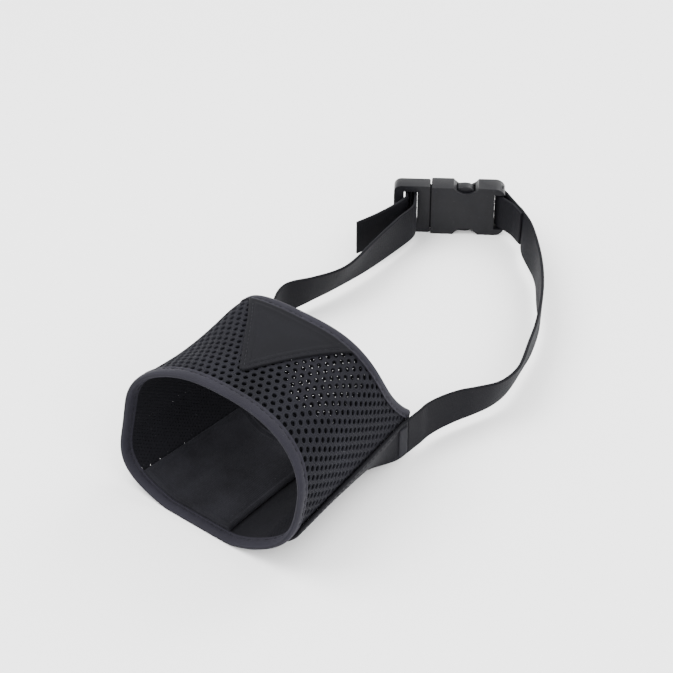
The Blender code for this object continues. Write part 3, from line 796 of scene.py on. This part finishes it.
def padPlace(u, v, out):
    # the pad's outer face lies flat on the chin cloth, so only its inner face is raised
    out = np.where(out > 0, np.minimum(out, chinPad["half"]), out)
    return chinPoint(u, v, sleeve["cloth"] + chinPad["gap"] + chinPad["half"] - out)


def padRelief(u, v):
    edge = fromRim(u, v, padAlong, padAcross)
    seam = chinPad["seamDepth"] * hill(edge - chinPad["seamIn"], chinPad["seamWidth"])
    soft = chinPad["puff"] * ease((edge - chinPad["seamIn"]) / chinPad["puffReach"])
    return np.where(edge > 0.0003, soft - seam * ease(edge / 0.002), 0.0)


chinCloth = sheetPiece("chin_cloth", chinPlace, chinAlong, chinAcross, chin["half"], chin["rim"],
                       smoothCloth, chinRelief)
fitted(chinCloth, "sleeve", "smooth_cloth", "chin_panel")
pad = sheetPiece("chin_pad", padPlace, padAlong, padAcross, chinPad["half"], chinPad["edge"],
                 liningCloth, padRelief)
fitted(pad, "sleeve", "lining_cloth", "chin_lining")
print("chin made")


# webbing: ribs of woven yarn with rounded edges
weave = {"ribs": 16, "pick": 0.0017, "height": 0.00016, "edge": 0.0005, "columnsPerRib": 3,
         "rowsPerPick": 3, "slant": 0.25, "squareEnd": 12}


def weaveRelief(u, v):
    rib = webbing["width"] / weave["ribs"]
    column = np.floor(v / rib)
    crown = np.sqrt(np.maximum(np.sin(halfTurn * (v / rib - column)), 0.0))
    slant = np.abs(column + 0.5) * weave["slant"]
    picks = 0.6 + 0.4 * np.cos(2 * halfTurn * (u / weave["pick"] + slant))
    return weave["height"] * (crown * picks - 0.5)


def webbingPiece(name, place, length, squareStart=False, squareEnd=False):
    half = webbing["width"] / 2
    across = (-half, half, webbing["width"] / weave["ribs"] / weave["columnsPerRib"], weave["edge"])
    along = (0, length, weave["pick"] / weave["rowsPerPick"], weave["edge"])

    # an end that meets another piece of the same strap is cut square, the others are rounded
    startShare = weave["squareEnd"] if squareStart else 1
    endShare = weave["squareEnd"] if squareEnd else 1

    def edge(u, v):
        ends = np.minimum(u * startShare, (length - u) * endShare)
        return np.minimum(ends, half - np.abs(v))

    return sheetPiece(name, place, along, across, webbing["thickness"] / 2, weave["edge"],
                      webbingCloth, weaveRelief, edge)


# the webbing sewn along each lower side, from the nose tape to the hinge at the corner
sideBand = {"topFront": 0.0235, "rise": 1.2, "liftFrom": 0.66, "uprightFrom": 0.90, "startAfter": 0.0003,
            "endBefore": 0.0062, "stitchFromEdge": 0.0019, "stitchFrom": 0.001, "stitchTo": 0.008}
bandStitch = {"pitch": 0.0032, "length": 0.0025, "radius": 0.00021}
bandLayer = webbing["layerIn"] + webbing["thickness"] / 2
outerArcs = {1: arcTable(1, -bandLayer), -1: arcTable(-1, -bandLayer)}


def angleAtHeight(along, height, side):
    # the angle below the sleeve's widest line where its face is at this height
    low = np.full_like(along, -halfTurn / 2)
    high = np.zeros_like(along)
    for _ in range(30):
        middle = (low + high) / 2
        below = section(along, mirrored(middle, side), 0.0)[1] < height
        low = np.where(below, middle, low)
        high = np.where(below, high, middle)
    return high


def angleBelow(along, start, distance, side):
    table = outerArcs[side]
    arc = onRows(along, lambda k, here: np.interp(-start[here], -arcAngles, table[k])) + distance
    return onRows(along, lambda k, here: np.interp(arc[here], table[k], arcAngles))


def cornerX(side):
    along = np.linspace(sideBand["uprightFrom"], 1.0, 6)
    angle = mirrored(angleAtHeight(along, cornerTopZ, side), side)
    return side * np.max(side * section(along, angle, -bandLayer)[0])


def bandPoint(y, height, out, side):
    # y is in metres from the nose rim, height from the webbing's middle
    shape = y.shape
    y, height, out = (np.broadcast_to(value, shape).ravel() for value in (y, height, out))
    run = y / sleeve["cornerLength"]
    topZ = lerp(sideBand["topFront"], cornerTopZ, ease(run * sideBand["rise"]))
    along = run
    for _ in range(5):
        top = angleAtHeight(along, topZ, side)
        angle = mirrored(angleBelow(along, top, webbing["width"] / 2 - height, side), side)
        faceZ = section(along, angle, 0.0)[1]
        along = (y - frontEdge(faceZ)) / (rearEdge(faceZ) - frontEdge(faceZ))
    x, z = section(along, angle, -bandLayer - out - swell(along, angle))
    blend = ease((run - sideBand["liftFrom"]) / (sideBand["uprightFrom"] - sideBand["liftFrom"]))
    x = lerp(x, cornerX(side) + side * out, blend)
    z = lerp(z, webbingZ + height, blend)
    beside = mirrored(angleAtHeight(along, z, side), side)
    skinX = section(along, beside, -bandLayer - out - swell(along, beside) * (1 - blend))[0]
    x = side * np.maximum(side * x, side * skinX)
    return np.stack([sleeveX + x, frontY + y, z], axis=-1).reshape(*shape, 3)


bandFirst = tape["width"] + sideBand["startAfter"] + float(frontEdge(sideBand["topFront"]))
bandLast = sleeve["cornerLength"] - sideBand["endBefore"]


def bandPlace(side, first, lift=0.0):
    return lambda u, v, out: bandPoint(first + u, v, lift + out, side)


def makeBand(side, word):
    length = bandLast - bandFirst
    band = webbingPiece("side_webbing_" + word, bandPlace(side, bandFirst), length)
    fitted(band, "sleeve", "webbing", "side_band_" + word)
    first, last = bandFirst + sideBand["stitchFrom"], bandLast - sideBand["stitchTo"]
    edge = webbing["width"] / 2 - sideBand["stitchFromEdge"]
    place = bandPlace(side, first, webbing["thickness"] / 2)
    rows = [(lambda t, out: place(t, np.full_like(t, edge), out), last - first),
            (lambda t, out: place(t, np.full_like(t, -edge), out), last - first)]
    stitches = stitchRow("side_webbing_stitches_" + word, rows, bandStitch)


# the bar tack at the corner: a block of close satin stitches
barTack = {"from": 0.0917, "to": 0.0977, "height": 0.0150, "half": 0.00042, "sunk": 0.6, "pitch": 0.00055,
           "slant": 0.04, "step": 0.00014, "stepAlong": 0.0012, "edge": 0.0004, "raise": 0.00014}


def makeTack(side, word):
    length = barTack["to"] - barTack["from"]
    half = barTack["height"] / 2
    middle = webbing["thickness"] / 2 + barTack["half"] * barTack["sunk"]

    def threads(u, v):
        return barTack["raise"] * np.abs(np.sin(halfTurn * (v + barTack["slant"] * u) / barTack["pitch"]))

    tack = sheetPiece("bar_tack_" + word, bandPlace(side, barTack["from"], middle),
                      (0, length, barTack["stepAlong"], barTack["edge"]),
                      (-half, half, barTack["step"], barTack["edge"]),
                      barTack["half"], barTack["edge"], sewingThread, threads)
    fitted(tack, "sleeve", "thread", "corner_tack_" + word)


for side, word in ((1, "right"), (-1, "left")):
    makeBand(side, word)
    makeTack(side, word)
print("side webbing made")


# the buckle's own axes: u from the plug to the socket, w through it
buckle = {"socketMiddleU": 0.0083, "socketBarU": 0.0259, "plugBarU": -0.0226, "tailReach": 0.0065,
          "wrapRadius": 0.00255, "turnRadius": 0.00245}
buckleAlong = np.array([-release["axis"][0], -release["axis"][1]])
buckleThrough = np.array([-buckleAlong[1], buckleAlong[0]])
socketLow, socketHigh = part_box("buckle_socket")
socketMiddle = (np.array(socketLow) + np.array(socketHigh))[:2] / 2
buckleMiddle = socketMiddle - buckleAlong * buckle["socketMiddleU"]


def atBuckle(u, w):
    return buckleMiddle + buckleAlong * u + buckleThrough * w


# neck straps: a line seen from above, with a lean, and webbing standing on edge along it
neckLoop = {
    "depth": 0.1647, "lap": 0.0062, "step": 0.0005, "bendTo": 0.020, "split": 0.50,
    # share of the loop's depth, sideways from the corner in metres, lean in degrees
    "left": [(0.09, -0.0125, 0), (0.17, -0.0235, 0), (0.25, -0.0280, 4), (0.34, -0.0235, 18),
             (0.42, -0.0198, 25), (0.49, -0.0188, 23), (0.61, -0.0198, 10)],
    "leftApproach": [(0.0060, -0.0219), (0.0050, -0.0088)],
    "right": [(0.06, -0.0003, 0), (0.11, 0.0010, 2), (0.17, 0.0042, 6), (0.22, 0.0082, 12),
              (0.28, 0.0122, 19), (0.34, 0.0128, 20), (0.40, 0.0108, 18), (0.48, 0.0060, 12),
              (0.58, -0.0002, 6), (0.70, -0.0104, 2), (0.80, -0.0222, 5), (0.90, -0.0358, 4),
              (0.995, -0.0535, 12)],
    "tail": [(0.0004, -0.0070), (-0.0003, -0.0160), (-0.0018, -0.0260), (-0.0043, -0.0370)],
    "wrapLength": 0.0150, "wrapTurn": -64, "sewnLength": 0.0080, "sewnGap": 0.00015,
}


def smoothLine(points, steps=14):
    points = [np.array(point, float) for point in points]
    padded = [points[0] * 2 - points[1]] + points + [points[-1] * 2 - points[-2]]
    line = []
    for i in range(1, len(padded) - 2):
        a, b, c, d = padded[i - 1:i + 3]
        for k in range(steps):
            t = k / steps
            line.append(0.5 * (2 * b + (c - a) * t + (2 * a - 5 * b + 4 * c - d) * t * t
                               + (3 * b - a - 3 * c + d) * t ** 3))
    return np.array(line + [points[-1]])


def alongLine(points):
    # a place function for webbing that follows these (x, y, lean) points, and its length
    points = np.array(points)
    steps = np.linalg.norm(np.diff(points[:, :2], axis=0), axis=1)
    points = points[np.concatenate([[True], steps > 1e-7])]
    reached = np.concatenate([[0.0], np.cumsum(np.linalg.norm(np.diff(points[:, :2], axis=0), axis=1))])
    length = reached[-1]
    even = np.linspace(0, length, int(length / neckLoop["step"]) + 2)
    x, y, lean = (np.interp(even, reached, points[:, k]) for k in range(3))
    kernel = np.array([1, 2, 3, 2, 1]) / 9
    aheadX, aheadY = (np.convolve(np.pad(np.gradient(value), 2, mode="edge"), kernel, "valid")
                      for value in (x, y))
    size = np.hypot(aheadX, aheadY)
    columns = (x, y, lean, aheadX / size, aheadY / size)

    def place(u, v, out):
        centreX, centreY, tilt, aheadX, aheadY = (np.interp(u, even, value) for value in columns)
        beside = v * np.sin(tilt) + out * np.cos(tilt)
        rise = v * np.cos(tilt) - out * np.sin(tilt)
        return np.stack([centreX + aheadY * beside, centreY - aheadX * beside, webbingZ + rise], axis=-1)
    return place, length


def withLean(point, lean=0.0):
    return (point[0], point[1], math.radians(lean))


def strapRoute(side, route, ending):
    start = np.array([sleeveX + cornerX(side), frontY + sleeve["cornerLength"]])
    points = [withLean(start), withLean(start + np.array([0.0, 0.004]))]
    for share, offset, lean in route:
        points.append(withLean(start + np.array([offset, share * neckLoop["depth"]]), lean))
    lead = withLean(start - np.array([0.0, neckLoop["lap"]]))
    return np.vstack([[lead], smoothLine(points + ending)])


def wrapPoint(offset, away):
    # offset is sideways from the strap's own line at the bar, away is back along the strap
    turn = math.radians(neckLoop["wrapTurn"])
    ahead = np.array([math.cos(turn), math.sin(turn)])
    beside = np.array([-ahead[1], ahead[0]])
    local = np.array([buckle["socketBarU"], 0.0]) + ahead * away + beside * offset
    return withLean(atBuckle(local[0], local[1]))


def plugPoint(away, w):
    return withLean(atBuckle(buckle["plugBarU"] + away, w))


def roundBar(place, radius):
    # half a turn of webbing round a bar
    turns = [halfTurn * k / 24 for k in range(1, 24)]
    return [place(radius * math.cos(turn), radius * math.sin(turn)) for turn in turns]


def rightRoute():
    radius, length = buckle["wrapRadius"], neckLoop["wrapLength"]
    ending = [wrapPoint(radius, length + 0.006), wrapPoint(radius, length)]
    route = list(strapRoute(1, neckLoop["right"], ending))
    route += [wrapPoint(radius, length * share) for share in (0.66, 0.33, 0.0)]
    route += roundBar(lambda offset, away: wrapPoint(offset, -away), radius)
    closing = radius - webbing["thickness"] - 2 * neckLoop["sewnGap"]
    for k in range(21):
        away = k / 20 * (length + neckLoop["sewnLength"])
        route.append(wrapPoint(lerp(-radius, closing, float(ease(away / length))), away))
    return route


def leftRoute():
    radius, reach = buckle["turnRadius"], buckle["tailReach"]
    entry = plugPoint(radius, -reach)
    ending = [withLean(np.array(entry[:2]) + np.array(step)) for step in neckLoop["leftApproach"]]
    return strapRoute(-1, neckLoop["left"], ending + [plugPoint(radius, -reach - 0.0020), entry])


def tailRoute():
    radius, reach = buckle["turnRadius"], buckle["tailReach"]
    points = [plugPoint(radius, -reach * share) for share in (1.0, 0.5, 0.0)] + roundBar(plugPoint, radius)
    points.append(plugPoint(-radius, 0.0))
    leave = plugPoint(-radius, -reach)
    route = [plugPoint(-radius, -reach * 0.5), leave]
    route += [withLean(np.array(leave[:2]) + np.array(step)) for step in neckLoop["tail"]]
    return np.vstack([np.array(points), smoothLine(route)])


def neckStrap(name, points, nodes, held="stretched", restsOn=(), **ends):
    place, length = alongLine(points)
    strap = webbingPiece(name, place, length, **ends)
    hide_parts(*nodes)
    return strap


hingePlace = Vector(hinge["pos_m"])
leftPoints = leftRoute()
splitAt = int(len(leftPoints) * neckLoop["split"])

strapRight = neckStrap("neck_strap_right", rightRoute(), ["strap_right", "strap_right_wrap"])
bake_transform(strapRight)

strapLower = neckStrap("neck_strap_left", leftPoints[:splitAt + 1], ["strap_left"],
                       restsOn=["side_webbing_left"], squareEnd=True)
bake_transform(strapLower)

strapUpper = neckStrap("neck_strap_left_upper", leftPoints[splitAt:], ["strap_left"],
                       squareStart=True, squareEnd=True)
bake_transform(strapUpper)

strapTail = neckStrap("neck_strap_tail", tailRoute(), ["strap_left_tail"], held="folded",
                      squareStart=True)
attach(strapTail, "plug")
print("neck straps made")


# buckle pieces: modelled at the origin along the buckle's axes, then turned into place
moulding = {"half": 0.0147, "slotHalf": 0.0109, "edge": 0.00045, "armEdge": 0.0005, "faceRound": 0.0009,
            "barShort": 0.0024, "clear": 0.004}
socketShell = {
    "mouth": -0.0117, "end": 0.0283, "thick": 0.00525, "rearRound": 0.0056, "barRadius": 0.0015,
    "pocketEnd": 0.0143, "pocketHalfThick": 0.00335, "pocketHalf": 0.0128, "slotFrom": 0.0224,
    "windowFrom": 0.0020, "windowTo": 0.0120, "fingerRadius": 0.0080, "fingerDepth": 0.0037,
}
plugBody = {
    "from": -0.0320, "to": -0.0122, "thick": 0.0041, "endBar": 0.0054, "shoulder": 0.0070,
    "rearRound": 0.0040, "barRadius": 0.0014, "overlap": 0.001, "neckHalf": 0.0122, "neckThick": 0.00275,
    "neckLength": 0.0007, "guideTo": 0.0083, "guideHalf": 0.0026, "guideThick": 0.00235,
}


def select(piece):
    bpy.ops.object.select_all(action="DESELECT")
    piece.select_set(True)
    bpy.context.view_layer.objects.active = piece


def editBox(low, high):
    bpy.ops.object.select_all(action="DESELECT")
    bpy.ops.mesh.primitive_cube_add(size=1, location=(0, 0, 0))
    bpy.ops.object.mode_set(mode="EDIT")
    bpy.ops.mesh.select_all(action="SELECT")
    bpy.ops.transform.resize(value=[b - a for a, b in zip(low, high)])
    bpy.ops.transform.translate(value=[(a + b) / 2 for a, b in zip(low, high)])
    bpy.ops.object.mode_set(mode="OBJECT")
    return bpy.context.object


def rod(radius, depth, place, through=False, sides=32):
    # stands upright, or lies through the buckle's thickness
    bpy.ops.object.select_all(action="DESELECT")
    bpy.ops.mesh.primitive_cylinder_add(vertices=sides, radius=radius, depth=depth, location=(0, 0, 0))
    bpy.ops.object.mode_set(mode="EDIT")
    bpy.ops.mesh.select_all(action="SELECT")
    if through:
        bpy.ops.transform.rotate(value=halfTurn / 2, orient_axis="X", center_override=(0, 0, 0))
    bpy.ops.transform.translate(value=place)
    bpy.ops.object.mode_set(mode="OBJECT")
    return bpy.context.object


def roundUpright(piece, radius, segments, wanted):
    # rounds the edges that run through the buckle's thickness
    select(piece)
    bpy.ops.object.mode_set(mode="EDIT")
    bpy.ops.mesh.select_mode(type="EDGE")
    bpy.ops.mesh.select_all(action="DESELECT")
    bpy.ops.object.mode_set(mode="OBJECT")
    for edge in piece.data.edges:
        a, b = (piece.data.vertices[k].co for k in edge.vertices)
        edge.select = abs((b - a).normalized().y) > 0.99 and wanted((a.x + b.x) / 2)
    bpy.ops.object.mode_set(mode="EDIT")
    bpy.ops.mesh.bevel(offset=radius, segments=segments, affect="EDGES")
    bpy.ops.object.mode_set(mode="OBJECT")


def join(piece, tool, operation="DIFFERENCE"):
    select(piece)
    step = piece.modifiers.new("join", "BOOLEAN")
    step.operation = operation
    step.solver = "EXACT"
    step.object = tool
    bpy.ops.object.modifier_apply(modifier=step.name)
    bpy.data.objects.remove(tool)


def finishMoulded(piece, width, body, node):
    select(piece)
    step = piece.modifiers.new("edges", "BEVEL")
    step.width = width
    step.segments = 3
    step.limit_method = "ANGLE"
    step.angle_limit = math.radians(40)
    bpy.ops.object.modifier_apply(modifier=step.name)
    bpy.ops.object.shade_smooth_by_angle(angle=math.radians(35))
    piece.data.materials.clear()
    piece.data.materials.append(buckleBlack)
    return fitted(piece, body, "moulded_plastic", node)


def turnIntoPlace(piece):
    along, through = buckleAlong, buckleThrough
    piece.data.transform(Matrix(((along[0], through[0], 0, buckleMiddle[0]),
                                 (along[1], through[1], 0, buckleMiddle[1]),
                                 (0, 0, 1, webbingZ), (0, 0, 0, 1))))


def makeSocket():
    half, thick, clear = moulding["half"], socketShell["thick"], moulding["clear"]
    mouth, end = socketShell["mouth"], socketShell["end"]
    inThick, inHalf = socketShell["pocketHalfThick"], socketShell["pocketHalf"]
    first, last = socketShell["windowFrom"], socketShell["windowTo"]
    shell = editBox((mouth, -thick, -half), (end, thick, half))
    shell.name = "buckle_socket_shell"
    roundUpright(shell, socketShell["rearRound"], 6, lambda x: x > 0)
    roundUpright(shell, moulding["faceRound"], 2, lambda x: x < mouth + 0.001)
    for low, high in (((mouth - clear, -inThick, -inHalf), (socketShell["pocketEnd"], inThick, inHalf)),
                      ((first, -inThick, -half - clear), (last, inThick, half + clear))):
        join(shell, editBox(low, high))
    radius = socketShell["fingerRadius"]
    for side in (-1, 1):
        place = ((first + last) / 2, 0, side * (half + radius - socketShell["fingerDepth"]))
        join(shell, rod(radius, 2 * (thick + clear), place, through=True, sides=64))
    join(shell, editBox((socketShell["slotFrom"], -thick - clear, -moulding["slotHalf"]),
                        (end + clear, thick + clear, moulding["slotHalf"])))
    bar = rod(socketShell["barRadius"], 2 * half - moulding["barShort"], (buckle["socketBarU"], 0, 0))
    join(shell, bar, "UNION")
    finishMoulded(shell, moulding["edge"], "neck_loop", "buckle_socket")
    turnIntoPlace(shell)


def makePlug():
    half, thick, clear = moulding["half"], plugBody["thick"], moulding["clear"]
    outer, inner = plugBody["from"], plugBody["to"]
    neckThick, neckHalf = plugBody["neckThick"], plugBody["neckHalf"]
    guideThick, guideHalf = plugBody["guideThick"], plugBody["guideHalf"]
    body = editBox((outer, -thick, -half), (inner, thick, half))
    body.name = "buckle_plug_body"
    roundUpright(body, plugBody["rearRound"], 6, lambda x: x < outer + 0.001)
    roundUpright(body, moulding["faceRound"], 2, lambda x: x > inner - 0.001)
    join(body, editBox((outer + plugBody["endBar"], -thick - clear, -moulding["slotHalf"]),
                       (inner - plugBody["shoulder"], thick + clear, moulding["slotHalf"])))
    bar = rod(plugBody["barRadius"], 2 * half - moulding["barShort"], (buckle["plugBarU"], 0, 0))
    join(body, bar, "UNION")
    inside = inner - plugBody["overlap"]
    neckEnd = inner + plugBody["neckLength"]
    for low, high in (((inside, -neckThick, -neckHalf), (neckEnd, neckThick, neckHalf)),
                      ((inside, -guideThick, -guideHalf), (plugBody["guideTo"], guideThick, guideHalf))):
        join(body, editBox(low, high), "UNION")
    finishMoulded(body, moulding["edge"], "plug", "buckle_plug")
    turnIntoPlace(body)


def makeArm(word):
    source = bpy.data.objects["release_arm_" + word]
    arm = bpy.data.objects.new("release_tongue_" + word, source.data.copy())
    bpy.context.scene.collection.objects.link(arm)
    arm.data.transform(source.matrix_world)
    bm = bmesh.new()
    bm.from_mesh(arm.data)
    bmesh.ops.remove_doubles(bm, verts=bm.verts, dist=0.00001)
    bmesh.ops.dissolve_limit(bm, angle_limit=math.radians(1), verts=bm.verts, edges=bm.edges)
    bm.to_mesh(arm.data)
    bm.free()
    finishMoulded(arm, moulding["armEdge"], word + "_arm", "release_arm_" + word)


makeSocket()
makePlug()
makeArm("upper")
makeArm("lower")
print("buckle made")


# camera, light and floor
studio = {
    "azimuth": 40, "elevation": 36.5, "distance": 0.95, "aim": (0.031, 0.060, 0.090), "lens": 115.4,
    # each light: its place and size in metres, and its power in watts
    "lights": {"key": ((-0.45, -0.35, 0.95), 0.7, 14.0), "fill": ((0.75, -0.45, 0.60), 0.8, 8.5),
               "rim": ((0.10, 0.85, 0.80), 0.6, 10.0)},
    "sky": 2.3, "floor": 0.92, "floorSize": 6,
}


def aimed(name, data, place, back):
    # back is the direction from the aim towards the camera or lamp
    item = bpy.data.objects.new(name, data)
    bpy.context.scene.collection.objects.link(item)
    item.location = place
    item.rotation_euler = (-back).to_track_quat("-Z", "Y").to_euler()
    return item


def makeStudio():
    azimuth = math.radians(studio["azimuth"])
    elevation = math.radians(studio["elevation"])
    aim = Vector((sleeveX, frontY, 0)) + Vector(studio["aim"])
    back = Vector((math.sin(azimuth) * math.cos(elevation), -math.cos(azimuth) * math.cos(elevation),
                   math.sin(elevation)))
    lens = bpy.data.cameras.new("camera")
    lens.lens = studio["lens"]
    lens.clip_start = 0.01
    bpy.context.scene.camera = aimed("camera", lens, aim + back * studio["distance"], back)
    for name, (place, size, power) in studio["lights"].items():
        light = bpy.data.lights.new(name, "AREA")
        light.energy = power
        light.size = size
        aimed(name, light, place, Vector(place))
    world = bpy.data.worlds.new("studio")
    world.use_nodes = True
    sky = world.node_tree.nodes["Background"]
    fill(world.node_tree, sky, {"Color": (1.0, 1.0, 1.0, 1), "Strength": studio["sky"]})
    bpy.context.scene.world = world
    bpy.ops.mesh.primitive_plane_add(size=studio["floorSize"], location=(0, 0, 0))
    floor = bpy.context.object
    floor.name = "floor"
    material, tree, shader = newMaterial("paper")
    fill(tree, shader, {"Base Color": (*[studio["floor"]] * 3, 1), "Roughness": 0.9})
    floor.data.materials.append(material)


makeStudio()
print("done")
